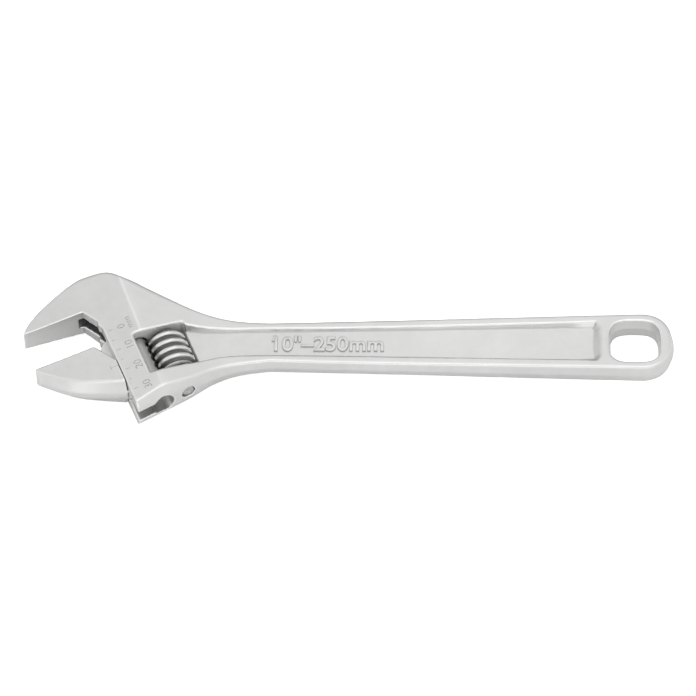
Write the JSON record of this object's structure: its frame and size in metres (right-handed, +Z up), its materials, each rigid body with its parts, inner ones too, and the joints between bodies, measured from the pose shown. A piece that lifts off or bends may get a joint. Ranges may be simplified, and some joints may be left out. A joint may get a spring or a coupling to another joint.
{
  "type": "adjustable wrench",
  "caption": "Adjustable wrench: forged handle and fixed jaw, movable jaw on a toothed rack, worm roller that opens and closes it, hanging hole.",
  "frame": {"origin": "centre of the overall box in plan, at the table the wrench lies on", "axes": "+X from the jaw tips toward the handle end, +Y toward the fixed jaw's back, +Z up out of the face with the worm's scale"},
  "size_m": [0.255, 0.0667, 0.0174],
  "materials": {
    "satin_chrome": "satin plated forging",
    "jaw_chrome": "satin plated forging",
    "worm_steel": "turned",
    "pin_steel": "turned",
    "spring_steel": "drawn wire"
  },
  "bodies": {
    "body": {"wrench_body": "satin_chrome", "worm_pin": "pin_steel", "worm_spring": "spring_steel"},
    "jaw": {"movable_jaw": "jaw_chrome"},
    "worm": {"adjusting_worm": "worm_steel"}
  },
  "joints": [
    {"name": "jaw_slide", "type": "slide", "parent": "body", "child": "jaw", "axis": [0.3798, -0.9251, 0], "range_m": [-0.017, 0.013]},
    {"name": "worm_spin", "type": "hinge", "parent": "body", "child": "worm", "pos_m": [-0.06894, -0.00392, 0.00872], "axis": [0.3798, -0.9251, 0], "range_deg": [-1620, 1240]}
  ],
  "couplings": [
    {"joint": "worm_spin", "follows": "jaw_slide", "rad_per_m": 1653.5}
  ]
}
